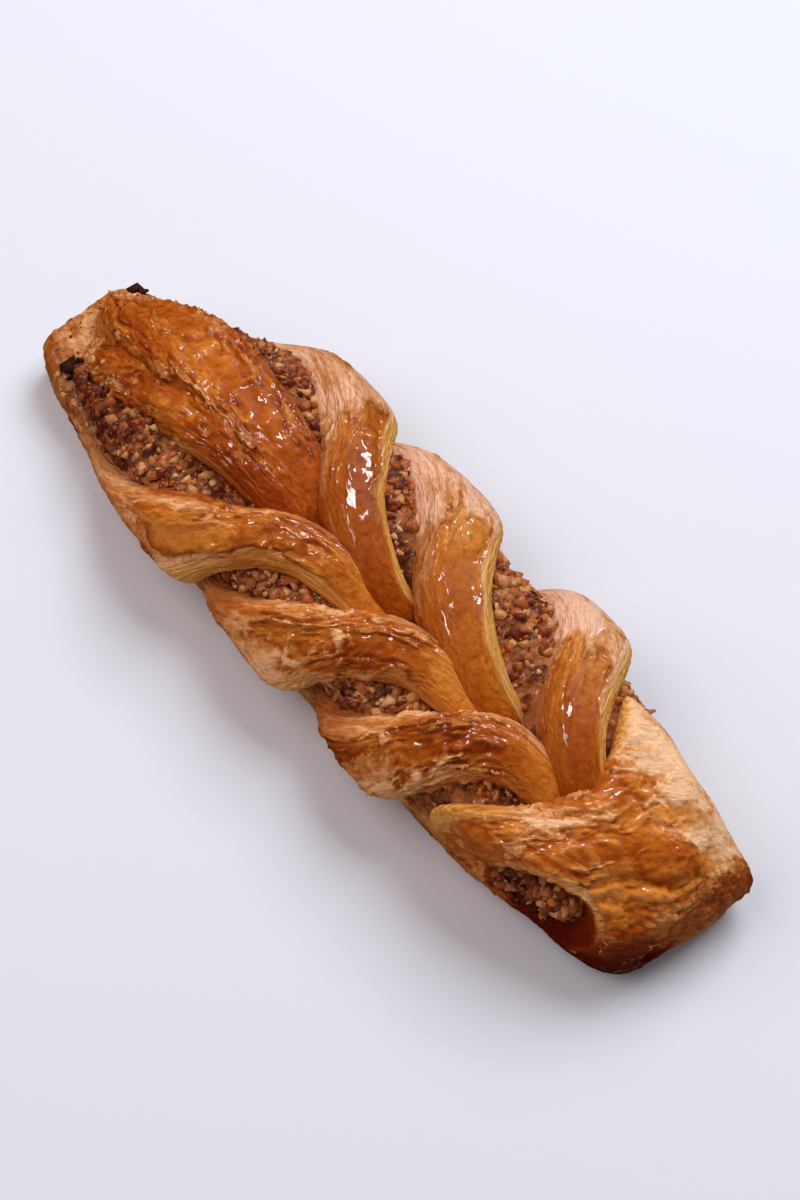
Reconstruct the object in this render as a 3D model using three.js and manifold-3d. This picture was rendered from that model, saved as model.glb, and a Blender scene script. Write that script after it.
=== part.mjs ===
// A braided nut pastry: a roll of nut filling on a sheet of dough, whose slit sides are laid over the filling
// as strips, by turns from the left and the right, and whose near end is folded over the last tips.
// Millimetres, +Z up. It lies along X on the plane Z = 0, pressed flat at -X and folded at +X.
import * as THREE from "three";
import { mergeVertices } from "three/addons/utils/BufferGeometryUtils.js";
import Module from "manifold-3d";

const wasm = await Module();
wasm.setup();

// Whole pastry
const LENGTH = 190;
const END_X = LENGTH / 2;
const START_X = -END_X;
const GAP = 0.3; // left between the dough and the filling

// Roll of nut filling
const FILL_START_X = -88;
const FILL_END_X = 86;
const FILL_WIDTH = 45;
const FILL_LOW_Z = 3.5;
const FILL_HIGH_Z = 24.5;
const FILL_SQUARE = 0.65; // under 1 gives a fuller section than an ellipse
const FILL_GROOVE = { deep: 5, y: -3, half: 9 }; // pressed into its top by the strips' tips
const FILL_ROUND = 0.055; // share of its length over which each end is rounded
const FAR_TAPER = { size: 0.62, share: 0.22, y: -3 }; // size left at the end, share of the length, shift
const NEAR_TAPER = { size: 0.74, share: 0.2, y: -2.5 };
const NUT_BUMP = 1.3; // relief of the chopped nuts, cut into the roll
const NUT_SEED = 7;

// Sheet of dough under the filling
const SHEET_END_X = 86;
const SHEET_WIDTH = 48;
const SHEET_WIDTH_FAR = 29;
const SHEET_WIDTH_NEAR = 28;
const SHEET_HIGH_Z = 6;
const SHEET_HIGH_Z_FAR = 13; // the pressed end
const SHEET_SQUARE = 0.5;
const SHEET_SINK = 0.6; // cut off at the table, for a flat underside

// Strips: the side each comes from, where it turns over the rim, where its tip is tucked in, half its width,
// and how much wider it is at its root, where the slits end.
// Each side has its crest's place, as a share of RIM_Y, the Y at which its tips lie,
// and how far they lie below the others: the right ones are on top.
const LEFT = { sign: -1, crest: 0.36, tipY: -5.5, drop: 2 };
const RIGHT = { sign: 1, crest: 0.21, tipY: -1.5, drop: 0 };
const STRIPS = [
  { side: LEFT, rim: -39, tip: 14, half: 6.4, spread: 1.9 },
  { side: RIGHT, rim: -39, tip: 12, half: 7, spread: 1.8 },
  { side: LEFT, rim: -5, tip: 43, half: 6.5, spread: 1.5 },
  { side: RIGHT, rim: -5.5, tip: 41.5, half: 7.8, spread: 1.6 },
  { side: LEFT, rim: 28, tip: 65, half: 6.6, spread: 0.9 },
  { side: RIGHT, rim: 36, tip: 69, half: 7, spread: 1 },
];
const RIM_Y = 24.5; // a strip's centreline where it turns over the rim
const CREST_Z = 23;
const LOAF_Z = 6; // height of the line that the strips bend round

// Stations of a strip's centreline: the share of the way from rim to tip, the share of RIM_Y, and the height
const ROOT = { share: -0.36, out: 0.78, z: 4.5 };
const RIM = { share: -0.08, out: 1, z: 10 };
const BROW = { share: 0.2, out: 0.76, z: 18.8 };
const CREST_SHARE = 0.5;
const DIVE = { share: 0.82, z: 21 };
const TUCK = { share: 1.06, z: 13 };

// Section of a strip
const HALF_THICK = 6.5;
const LOBE = { more: 0.3, at: 0.27, share: 0.14 }; // it swells where it turns over the rim
const PLUMP = 0.72; // under 1 gives fuller shoulders than an ellipse
const ROOT_SHARE = 0.5; // share of the strip over which it narrows
const UPRIGHT_SHARE = 0.1; // share of the strip that stands upright at its root
const TIP_TAPER = 0.6; // width left at the tip
const TAPER_SHARE = 0.5; // share of the strip before the taper starts
const END_RINGS = 2.5; // rings of facets that round off each end
const RIDGES = 5; // creases along a strip
const RIDGE = 0.45;
const RIDGE_DRIFT = 3; // how far the creases wander round, in radians

// The first two strips start at the pressed end and run along the top
const FIRST_LEFT = { from: [-86, -6.2, 6], over: [-64, -6.2, 17], tip: [-10, -3.5, TUCK.z], half: 6.2 };
const FIRST_RIGHT = { from: [-90, 4, 6], over: [-64, 4.5, 20], tip: [-8, 0, TUCK.z], half: 10.4 };
const FIRST_RISE = 0.65; // share of the rise that is done halfway from the first station to the second
const FIRST_CREST_Z = 22;

// Folded end
const FOLD_FRONT_X = 62; // middle of the mouth that covers the last tips
// On each side: how far the mouth reaches back, the half width in front and at the end,
// and how far the end stands back
const FOLD_LEFT = { lip: 22, front: 28, end: 19.5, back: 3.5 };
const FOLD_RIGHT = { lip: 14, front: 21, end: 15.5, back: 0 };
const FOLD_HEIGHT = 28;
const FOLD_HEIGHT_END = 15;
const FOLD_DROP = 3; // the higher, the later its top drops to the end
const FOLD_SQUARE = 0.3; // the smaller, the sharper its corners in plan
const FOLD_PLUMP = 0.6;
const FOLD_WAVE = { deep: 0.7, along: 9, across: 4 }; // its wrinkles, in mm and in radians over the fold
const POCKET = { at: [75, -27, 16], half: [14.5, 12, 11], tilt: 0.25 }; // its open side, lower to the front

// Facets
const STRIP_ALONG = 20;
const STRIP_AROUND = 18;
const FILL_ALONG = 60;
const FILL_AROUND = 24;
const SHEET_ALONG = 28;
const SHEET_AROUND = 16;
const FOLD_AROUND = 28;
const FOLD_RINGS = 18;
const POCKET_AROUND = 18;

const DOUGH = { color: 0xb8691f, roughness: 0.35, metalness: 0 };
const NUTS = { color: 0x6b3f22, roughness: 0.6, metalness: 0 };

const TINY = 1e-9; // what is smaller is a rounding error, and counts as zero
const { lerp, smoothstep, clamp } = THREE.MathUtils;
const power = (v, e) => (Math.abs(v) < TINY ? 0 : Math.sign(v) * Math.abs(v) ** e);
const point = (xyz) => new THREE.Vector3(...xyz);
const quarter = (share) => Math.sqrt(1 - (1 - clamp(share, 0, 1)) ** 2); // a quarter circle, from 0 to 1

// Draws between 0 and 1 that are the same each time.
function seeded(seed) {
  const factor = 16807;
  const limit = 2147483647;
  let state = seed;
  return () => {
    state = (state * factor) % limit;
    return state / limit;
  };
}

// The closed geometry as a solid that can be cut.
function solid(geometry) {
  geometry.deleteAttribute("normal");
  geometry.deleteAttribute("uv");
  const merged = mergeVertices(geometry);
  return new wasm.Manifold(
    new wasm.Mesh({
      numProp: 3,
      vertProperties: merged.getAttribute("position").array,
      triVerts: new Uint32Array(merged.index.array),
    }),
  );
}

// A ball whose points are moved by place(t, angle): t runs from 0 to 1 between its poles, angle round them.
function moulded(around, rings, place) {
  const geometry = new THREE.SphereGeometry(1, around, rings);
  const position = geometry.getAttribute("position");
  const uv = geometry.getAttribute("uv");
  for (let i = 0; i < position.count; i++) {
    const { x, y, z } = place(1 - uv.getY(i), -2 * Math.PI * uv.getX(i));
    position.setXYZ(i, x, y, z);
  }
  return solid(geometry);
}

// A strip's centreline, from under the rim over the filling to its tucked tip.
function stripCurve({ side, rim, tip }) {
  const at = (share, y, z) => new THREE.Vector3(lerp(rim, tip, share), y, z);
  const out = (share) => side.sign * RIM_Y * share;
  return new THREE.CatmullRomCurve3([
    at(ROOT.share, out(ROOT.out), ROOT.z),
    at(RIM.share, out(RIM.out), RIM.z),
    at(BROW.share, out(BROW.out), BROW.z),
    at(CREST_SHARE, out(side.crest), CREST_Z),
    at(DIVE.share, side.tipY, DIVE.z - side.drop),
    at(TUCK.share, side.tipY, TUCK.z - side.drop),
  ]);
}

// The centreline of one of the first strips, along the top from the pressed end.
function firstCurve({ from, over, tip }) {
  const rise = point(from).lerp(point(over), 0.5).setZ(lerp(from[2], over[2], FIRST_RISE));
  const crest = point(over).lerp(point(tip), 0.5).setZ(FIRST_CREST_Z);
  return new THREE.CatmullRomCurve3([point(from), rise, point(over), crest, point(tip)]);
}

// A strip of dough along a curve. Its section lies on the loaf, and stands upright at a root that spreads.
function strip(curve, half, rootSpread) {
  return moulded(STRIP_AROUND, STRIP_ALONG, (t, angle) => {
    const middle = curve.getPoint(t);
    const ahead = curve.getTangent(t);
    const out = new THREE.Vector3(0, middle.y / RIM_Y ** 2, (middle.z - LOAF_Z) / CREST_Z ** 2);
    const lying = rootSpread > 0 ? smoothstep(t, UPRIGHT_SHARE, ROOT_SHARE) : 1;
    const lean = new THREE.Vector3(0, 0, 1).lerp(ahead, lying);
    const across = new THREE.Vector3().crossVectors(out, lean).normalize();
    const up = new THREE.Vector3().crossVectors(ahead, across);
    const round = quarter((Math.min(t, 1 - t) * STRIP_ALONG) / END_RINGS);
    const spread = 1 + rootSpread * (1 - smoothstep(t, 0, ROOT_SHARE));
    const wide = half * spread * lerp(1, TIP_TAPER, smoothstep(t, TAPER_SHARE, 1));
    const lobe = rootSpread > 0 ? LOBE.more * Math.exp(-(((t - LOBE.at) / LOBE.share) ** 2)) : 0;
    const ridge = RIDGE * Math.sin(RIDGES * angle + RIDGE_DRIFT * Math.sin(2 * Math.PI * t + half));
    const thick = HALF_THICK * (1 + lobe) + ridge;
    middle.addScaledVector(across, wide * round * power(Math.cos(angle), PLUMP));
    return middle.addScaledVector(up, thick * round * power(Math.sin(angle), PLUMP));
  });
}

// How far the filling and the sheet are from their tapered ends at t, and how far they lie to one side there.
function taper(t) {
  const far = smoothstep(t, 0, FAR_TAPER.share);
  const near = smoothstep(1 - t, 0, NEAR_TAPER.share);
  return { far, near, shift: lerp(FAR_TAPER.y, 0, far) + lerp(NEAR_TAPER.y, 0, near) };
}

// The roll of filling, smaller all round by inset and by what bump takes off.
function fillingRoll(inset, bump) {
  const tall = (FILL_HIGH_Z - FILL_LOW_Z) / 2;
  return moulded(FILL_AROUND, FILL_ALONG, (t, angle) => {
    const { far, near, shift } = taper(t);
    const size = lerp(FAR_TAPER.size, 1, far) * lerp(NEAR_TAPER.size, 1, near);
    const round = quarter(Math.min(t, 1 - t) / FILL_ROUND);
    const less = inset + bump(t, angle);
    const y = ((FILL_WIDTH / 2) * size - less) * round * power(Math.cos(angle), FILL_SQUARE);
    const offGroove = (y - FILL_GROOVE.y) / FILL_GROOVE.half;
    const groove = Math.sin(angle) > 0 ? FILL_GROOVE.deep * size * Math.exp(-(offGroove ** 2)) : 0;
    const z = (tall * size - less - groove) * round * power(Math.sin(angle), FILL_SQUARE);
    const x = lerp(FILL_START_X + inset, FILL_END_X - inset, t);
    return new THREE.Vector3(x, y + shift, FILL_LOW_Z + tall * size + z);
  });
}

// Depths of the chopped nuts' facets, drawn for each ring and each place round it.
function nutBumps() {
  const draw = seeded(NUT_SEED);
  const depths = Array.from({ length: FILL_ALONG + 1 }, () => Array.from({ length: FILL_AROUND }, draw));
  return (t, angle) => {
    const ring = Math.round(t * FILL_ALONG);
    const place = Math.round((-angle / (2 * Math.PI)) * FILL_AROUND) % FILL_AROUND;
    return NUT_BUMP * depths[ring][place];
  };
}

// The sheet under the filling, blunt at the pressed end.
function sheet() {
  return moulded(SHEET_AROUND, SHEET_ALONG, (t, angle) => {
    const along = clamp((t * SHEET_ALONG - 1) / (SHEET_ALONG - 2), 0, 1);
    const { far, near, shift } = taper(along);
    const farWidth = lerp(SHEET_WIDTH_FAR, SHEET_WIDTH, far);
    const nearWidth = lerp(SHEET_WIDTH_NEAR, SHEET_WIDTH, near);
    const round = quarter((Math.min(t, 1 - t) * SHEET_ALONG) / END_RINGS);
    const high = lerp(SHEET_HIGH_Z_FAR, SHEET_HIGH_Z, far) / 2;
    const y = (Math.min(farWidth, nearWidth) / 2) * round * power(Math.cos(angle), SHEET_SQUARE);
    const z = (high + SHEET_SINK) * round * power(Math.sin(angle), SHEET_SQUARE);
    return new THREE.Vector3(lerp(START_X, SHEET_END_X, along), y + shift, high + z);
  });
}

// Folded end: a pillow whose front edge dips in the middle, over the last tips, with an open left side.
function foldedEnd() {
  const pillow = moulded(FOLD_AROUND, FOLD_RINGS, (t, angle) => {
    const ring = Math.sin(Math.PI * t);
    const wide = power(ring * Math.cos(angle), FOLD_SQUARE);
    const tall = power(ring * Math.sin(angle), FOLD_PLUMP);
    const along = power(-Math.cos(Math.PI * t), FOLD_SQUARE) / 2 + 0.5;
    const side = wide < 0 ? FOLD_LEFT : FOLD_RIGHT;
    const front = FOLD_FRONT_X - side.lip * wide ** 2;
    const end = END_X - side.back * Math.abs(wide);
    const wave = FOLD_WAVE.deep * ring * Math.sin(FOLD_WAVE.along * along + FOLD_WAVE.across * wide);
    const height = lerp(FOLD_HEIGHT, FOLD_HEIGHT_END, along ** FOLD_DROP) + wave;
    const y = wide * lerp(side.front, side.end, along);
    return new THREE.Vector3(lerp(front, end, along), y, (tall / 2 + 0.5) * height);
  });
  const hollow = new THREE.SphereGeometry(1, POCKET_AROUND, POCKET_AROUND / 2).scale(...POCKET.half);
  hollow.applyMatrix4(new THREE.Matrix4().makeShear(0, POCKET.tilt, 0, 0, 0, 0)).translate(...POCKET.at);
  return pillow.subtract(solid(hollow));
}

// The largest body that a cut leaves.
function largest(cut) {
  return cut.decompose().sort((a, b) => b.volume() - a.volume())[0];
}

function mesh(name, shape, look) {
  const { vertProperties, triVerts } = shape.getMesh();
  const geometry = new THREE.BufferGeometry();
  geometry.setAttribute("position", new THREE.BufferAttribute(vertProperties, 3));
  geometry.setIndex(new THREE.BufferAttribute(triVerts, 1));
  geometry.computeVertexNormals();
  const made = new THREE.Mesh(geometry, new THREE.MeshStandardMaterial(look));
  made.name = name;
  return made;
}

const table = solid(new THREE.BoxGeometry(2 * LENGTH, LENGTH, LENGTH).translate(0, 0, -LENGTH / 2));
const bed = fillingRoll(0, () => 0);
let sheetAndStrips = sheet().add(foldedEnd());
for (const first of [FIRST_LEFT, FIRST_RIGHT]) {
  sheetAndStrips = sheetAndStrips.add(strip(firstCurve(first), first.half, 0));
}
for (const one of STRIPS) {
  sheetAndStrips = sheetAndStrips.add(strip(stripCurve(one), one.half, one.spread));
}

const pastry = new THREE.Group();
pastry.add(mesh("dough", largest(sheetAndStrips.subtract(bed).subtract(table)), DOUGH));
pastry.add(mesh("filling", fillingRoll(GAP, nutBumps()), NUTS));

export default pastry;
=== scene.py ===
import math
import random

import bmesh
import bpy
from mathutils import Matrix, Vector, noise
from mathutils.bvhtree import BVHTree


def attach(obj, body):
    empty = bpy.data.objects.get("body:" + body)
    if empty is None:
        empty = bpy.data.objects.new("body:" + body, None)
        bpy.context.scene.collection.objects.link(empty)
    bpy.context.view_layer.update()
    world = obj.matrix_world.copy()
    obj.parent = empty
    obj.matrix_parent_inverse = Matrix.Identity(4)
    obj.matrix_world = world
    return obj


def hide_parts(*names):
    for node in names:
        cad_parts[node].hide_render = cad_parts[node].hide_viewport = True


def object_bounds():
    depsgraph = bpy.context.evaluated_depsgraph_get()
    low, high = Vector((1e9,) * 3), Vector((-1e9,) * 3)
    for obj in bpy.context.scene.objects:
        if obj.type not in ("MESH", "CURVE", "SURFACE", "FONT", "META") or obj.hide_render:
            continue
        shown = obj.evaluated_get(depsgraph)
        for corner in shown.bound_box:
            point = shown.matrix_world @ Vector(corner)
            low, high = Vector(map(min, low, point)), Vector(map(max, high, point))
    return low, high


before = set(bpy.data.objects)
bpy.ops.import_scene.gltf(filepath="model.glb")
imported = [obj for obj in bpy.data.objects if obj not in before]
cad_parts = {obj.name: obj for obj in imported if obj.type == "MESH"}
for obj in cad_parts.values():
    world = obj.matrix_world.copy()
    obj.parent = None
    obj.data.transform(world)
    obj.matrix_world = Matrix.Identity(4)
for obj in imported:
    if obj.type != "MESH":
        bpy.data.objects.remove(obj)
cadLow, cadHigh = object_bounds()
mm = 0.001  # shapes are worked out in millimetres, and meshes are in metres
noise.seed_set(5)  # noise vectors start from the clock without this
endX = cadHigh.x / mm
startX = cadLow.x / mm
fullTurn = 2 * math.pi
tiny = 1e-9
print("frame loaded:", sorted(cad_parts))


# Small helpers
def lerp(a, b, share):
    return a + (b - a) * share


def clamp(value, low=0.0, high=1.0):
    return max(low, min(high, value))


def ramp(value, low, high):  # smooth step from 0 to 1
    share = clamp((value - low) / (high - low))
    return share * share * (3 - 2 * share)


def hump(value, width):  # 1 at zero, fading to both sides
    return math.exp(-((value / width) ** 2))


def bulge(value, power):
    return math.copysign(abs(value) ** power, value)


def quarterRound(share):
    return math.sqrt(1 - (1 - clamp(share)) ** 2)


def tone(code):  # a colour written as in a paint program, made linear
    parts = [int(code[k:k + 2], 16) / 255 for k in (0, 2, 4)]
    return (*[((c + 0.055) / 1.055) ** 2.4 if c > 0.04045 else c / 12.92 for c in parts], 1.0)


def smoothLine(points, share):  # centripetal Catmull-Rom line, the same as in the solids
    last = len(points) - 1
    k = min(int(share * last), last - 1)
    w = share * last - k
    p1, p2 = points[k], points[k + 1]
    p0 = points[k - 1] if k > 0 else p1 * 2 - p2
    p3 = points[k + 2] if k + 2 <= last else p2 * 2 - p1
    d0, d1, d2 = (math.sqrt((b - a).length) for a, b in ((p0, p1), (p1, p2), (p2, p3)))
    leave = ((p1 - p0) / d0 - (p2 - p0) / (d0 + d1) + (p2 - p1) / d1) * d1
    arrive = ((p2 - p1) / d1 - (p3 - p1) / (d1 + d2) + (p3 - p2) / d2) * d1
    begin = p1 * (2 * w**3 - 3 * w**2 + 1) + leave * (w**3 - 2 * w**2 + w)
    return begin + p2 * (3 * w**2 - 2 * w**3) + arrive * (w**3 - w**2)


def evenShares(count, place, samples=2000):  # shares evenly spaced along place(share)
    spots = [Vector(place(k / samples)) for k in range(samples + 1)]
    reach = [0.0]
    for a, b in zip(spots, spots[1:]):
        reach.append(reach[-1] + (b - a).length)
    shares, k = [], 0
    for step in range(count + 1):
        goal = reach[-1] * step / count
        while k < samples - 1 and reach[k + 1] < goal:
            k += 1
        shares.append((k + clamp((goal - reach[k]) / max(reach[k + 1] - reach[k], tiny))) / samples)
    return shares


# A ball whose points are moved by place(ring, column), with the ring and column of each point
def mouldBall(columns, rings, place):
    bm = bmesh.new()
    bmesh.ops.create_uvsphere(bm, u_segments=columns, v_segments=rings, radius=1)
    spots = []
    for vert in bm.verts:
        ring = round(math.acos(clamp(-vert.co.z, -1, 1)) / math.pi * rings)
        column = round(math.atan2(vert.co.y, vert.co.x) / fullTurn * columns) % columns
        spots.append((ring, column))
    for vert, spot in zip(bm.verts, spots):
        vert.co = place(*spot)
    bmesh.ops.recalc_face_normals(bm, faces=bm.faces)
    bm.normal_update()
    return bm, spots


# One piece of dough: a moulded ball that is raised and coloured by dress(ring, column, point)
def mouldDough(name, columns, rings, place, dress, material):
    bm, spots = mouldBall(columns, rings, place)
    layers = {key: bm.verts.layers.float.new(key) for key in ("bake", "tear", "edge")}
    strand = bm.verts.layers.float_vector.new("strand")
    for vert, spot in zip(bm.verts, spots):
        look = dress(*spot, vert.co.copy())
        vert.co += vert.normal * look["height"]
        vert.co.z = max(vert.co.z, 0)
        vert[strand] = look["strand"]
        for key, layer in layers.items():
            vert[layer] = look[key]
    return finishPiece(name, bm, material, "dough")


def finishPiece(name, bm, material, node):
    bmesh.ops.scale(bm, vec=(mm, mm, mm), verts=bm.verts)
    mesh = bpy.data.meshes.new(name)
    bm.to_mesh(mesh)
    bm.free()
    return placePiece(name, mesh, material, node)


def placePiece(name, mesh, material, node):
    mesh.shade_smooth()
    mesh.materials.append(material)
    piece = bpy.data.objects.new(name, mesh)
    bpy.context.scene.collection.objects.link(piece)
    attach(piece, "root")
    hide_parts(node)
    print("made", name, len(mesh.polygons), "faces")
    return piece


# Baked surface: torn skin in terraces, wrinkles and thin films in the glaze, fine cracks along the skin
crustRelief = {
    "seedStep": (17.3, 5.1, 9.7),  # how far apart in the noise two pieces lie
    "lump": 0.6, "lumpLength": 17, "lumpWidth": 9, "lumpBake": 0.35,
    "tearLength": 13, "tearWidth": 4.4, "tearRough": 0.75, "tearFiner": 2.1, "tearOctaves": 3,
    "tearShare": 0.62, "edgeHold": 1.5, "tearStep": 0.3, "tearSoft": 0.05,
    "secondTear": 0.34, "secondSoft": 0.06, "secondShare": 0.6,
    "tearLip": 0.36, "lipBack": 0.03, "lipWidth": 0.045, "lipPale": 0.15,
    "underAt": 0.07, "underWidth": 0.05, "underBake": 0.25, "tornBake": 0.15, "tornFrom": (-0.3, 0.25),
    "wrinkle": 0.4, "wrinkleLength": 3.4, "wrinkleWidth": 2.0, "wrinkleSharp": 2.6,
    "fineWrinkle": 0.5, "fineWrinkleSize": 2.2, "wrinklePale": 0.2, "warp": 0.6, "warpSize": 5,
    "puff": 1.1, "puffSize": 0.6, "finePuff": 0.5, "finePuffSize": 1.4, "puffMean": 0.28, "puffPale": 0.5,
    "film": 0.5, "filmSharp": 5, "filmSize": 0.5, "fineFilm": 0.6, "fineFilmSize": 2.1,
    "filmPatch": 0.9, "filmFrom": (-0.1, 0.25), "filmSkin": 0.8, "filmPale": 0.5,
    "crack": 0.22, "crackLength": 16, "crackWidth": 1.7, "crackSharp": 8, "crackBake": 0.2,
    "fine": 0.07, "fineSize": 1.0, "layer": 0.1, "layerPitch": 1.3, "layerSway": 3, "layerSwaySize": 0.5,
}


def thinRidge(place, sharp):
    return max(0.0, 1 - sharp * abs(noise.noise(place))) ** 2


def bakedSurface(strandPoint, seed, tearBias, edge, flaky, wrinkly, filmy=0.0):
    c = crustRelief
    along, side, up = strandPoint
    shift = Vector([seed * step for step in c["seedStep"]])

    def at(kind, far):  # place in a noise stretched along the strand
        wide = c[kind + "Width"]
        return Vector((along / c[kind + "Length"], side / wide, up / wide)) + shift * far

    lump = noise.noise(at("lump", 1))
    wrinkleAt = at("wrinkle", 4)
    wrinkleAt += c["warp"] * noise.noise_vector(strandPoint / c["warpSize"] + shift)
    wrinkle = thinRidge(wrinkleAt, c["wrinkleSharp"])
    wrinkle += c["fineWrinkle"] * thinRidge(wrinkleAt * c["fineWrinkleSize"], c["wrinkleSharp"])
    filmAt = wrinkleAt * c["filmSize"] + shift
    film = thinRidge(filmAt, c["filmSharp"])
    film += c["fineFilm"] * thinRidge(filmAt * c["fineFilmSize"], c["filmSharp"])
    film *= filmy * ramp(noise.noise(filmAt * c["filmPatch"] + shift), *c["filmFrom"])
    puff = abs(noise.noise(wrinkleAt * c["puffSize"]))
    puff += c["finePuff"] * abs(noise.noise(wrinkleAt * c["finePuffSize"])) - c["puffMean"]
    field = noise.fractal(at("tear", 2), c["tearRough"], c["tearFiner"], c["tearOctaves"]) * c["tearShare"]
    field += tearBias - edge * c["edgeHold"] - c["filmSkin"] * film
    second = field - c["secondTear"]
    tear = ramp(field, 0, c["tearSoft"])
    secondTear = c["secondShare"] * ramp(second, 0, c["secondSoft"])
    lip = hump(field + c["lipBack"], c["lipWidth"])
    lip += c["secondShare"] * hump(second + c["lipBack"], c["lipWidth"])
    # a strip just past the tear edge that is darkened, partly as burnt edge and partly as painted shade
    under = hump(field - c["underAt"], c["underWidth"])
    crackAt = at("crack", 3)
    crack = max(0.0, 1 - c["crackSharp"] * abs(noise.noise(crackAt)))
    fine = noise.noise(strandPoint / c["fineSize"] + shift * 5)
    sway = c["layerSway"] * noise.noise(crackAt * c["layerSwaySize"])
    layers = math.sin(fullTurn * (up - side) / c["layerPitch"] + sway)
    skin = (1 - tear) * (1 - edge)
    wrinkly *= 1 - edge
    height = c["lump"] * lump + wrinkly * (c["puff"] * puff + c["wrinkle"] * wrinkle) + c["film"] * film
    height += flaky * (c["tearLip"] * lip - c["tearStep"] * (tear + secondTear))
    height += c["fine"] * fine + edge * c["layer"] * layers - skin * c["crack"] * crack
    bake = c["lumpBake"] * lump + c["crackBake"] * crack * skin
    # darker strip past the edge: partly burnt, partly painted shade; paler lip: painted highlight on the
    # lifted edge
    bake += flaky * (c["underBake"] * under - c["lipPale"] * lip)
    # paler blister tops and darker creases between them are painted light and shade; paler ridges and films
    # stand for thin, less browned skin
    bake -= wrinkly * (c["wrinklePale"] * wrinkle + c["puffPale"] * puff) + c["filmPale"] * film
    bake += c["tornBake"] * ramp(field, *c["tornFrom"])
    return {"height": height, "tear": clamp(field, -1, 1), "edge": edge, "bake": bake, "strand": strandPoint}


# Shader nodes, set out in columns as they are made
nodeGrid = (8, 220, 260)  # rows in a column, and the steps across and down


def addNode(tree, kind, **settings):
    rows, across, down = nodeGrid
    column, row = divmod(len(tree.nodes), rows)
    made = tree.nodes.new(kind)
    made.location = (column * across, -row * down)
    for key, value in settings.items():
        setattr(made, key, value)
    return made


def feed(tree, socket, value):  # a link, or a fixed value
    if isinstance(value, bpy.types.NodeSocket):
        tree.links.new(value, socket)
    else:
        socket.default_value = value


def newGroup(name, inputs, outputs):
    tree = bpy.data.node_groups.new(name, "ShaderNodeTree")
    for label, kind in inputs:
        tree.interface.new_socket(label, in_out="INPUT", socket_type="NodeSocket" + kind)
    for label, kind in outputs:
        tree.interface.new_socket(label, in_out="OUTPUT", socket_type="NodeSocket" + kind)
    return tree, addNode(tree, "NodeGroupInput"), addNode(tree, "NodeGroupOutput")


def mathNode(tree, operation, *values):
    made = addNode(tree, "ShaderNodeMath", operation=operation, use_clamp=False)
    for socket, value in zip(made.inputs, values):
        feed(tree, socket, value)
    return made.outputs[0]


def centredNode(tree, value, factor):  # a noise of 0 to 1, made to swing round 0
    return mathNode(tree, "MULTIPLY_ADD", value, factor, -factor / 2)


def mixNode(tree, share, a, b, blend="MIX"):
    made = addNode(tree, "ShaderNodeMix", data_type="RGBA", blend_type=blend, clamp_factor=True)
    for place, value in ((0, share), (6, a), (7, b)):  # the sockets of a colour mix
        feed(tree, made.inputs[place], value)
    return made.outputs[2]


def rangeNode(tree, value, given, wanted):
    made = addNode(tree, "ShaderNodeMapRange", interpolation_type="SMOOTHSTEP", clamp=True)
    feed(tree, made.inputs["Value"], value)
    for label, number in zip(("From Min", "From Max", "To Min", "To Max"), (*given, *wanted)):
        made.inputs[label].default_value = number
    return made.outputs["Result"]


def noiseNode(tree, vector, stretch, detail, rough=0.55):
    mapping = addNode(tree, "ShaderNodeMapping")
    mapping.inputs["Scale"].default_value = stretch
    feed(tree, mapping.inputs["Vector"], vector)
    made = addNode(tree, "ShaderNodeTexNoise")
    made.inputs["Scale"].default_value = 1
    made.inputs["Detail"].default_value = detail
    made.inputs["Roughness"].default_value = rough
    feed(tree, made.inputs["Vector"], mapping.outputs[0])
    return made.outputs[0]


def browned(tree, colour, tint, share):  # the deeper the bake, the more of each colour it takes away
    taken = addNode(tree, "ShaderNodeGamma")
    feed(tree, taken.inputs["Color"], tint)
    feed(tree, taken.inputs["Gamma"], share)
    return mixNode(tree, 1, colour, taken.outputs["Color"], blend="MULTIPLY")


def newMaterial(name):  # with its shader, and a bump that feeds the shader's normal
    material = bpy.data.materials.new(name)
    material.use_nodes = True
    tree = material.node_tree
    tree.nodes.clear()
    shader = addNode(tree, "ShaderNodeBsdfPrincipled")
    relief = addNode(tree, "ShaderNodeBump")
    out = addNode(tree, "ShaderNodeOutputMaterial")
    tree.links.new(relief.outputs["Normal"], shader.inputs["Normal"])
    tree.links.new(shader.outputs["BSDF"], out.inputs["Surface"])
    return material, tree, shader, relief


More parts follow.
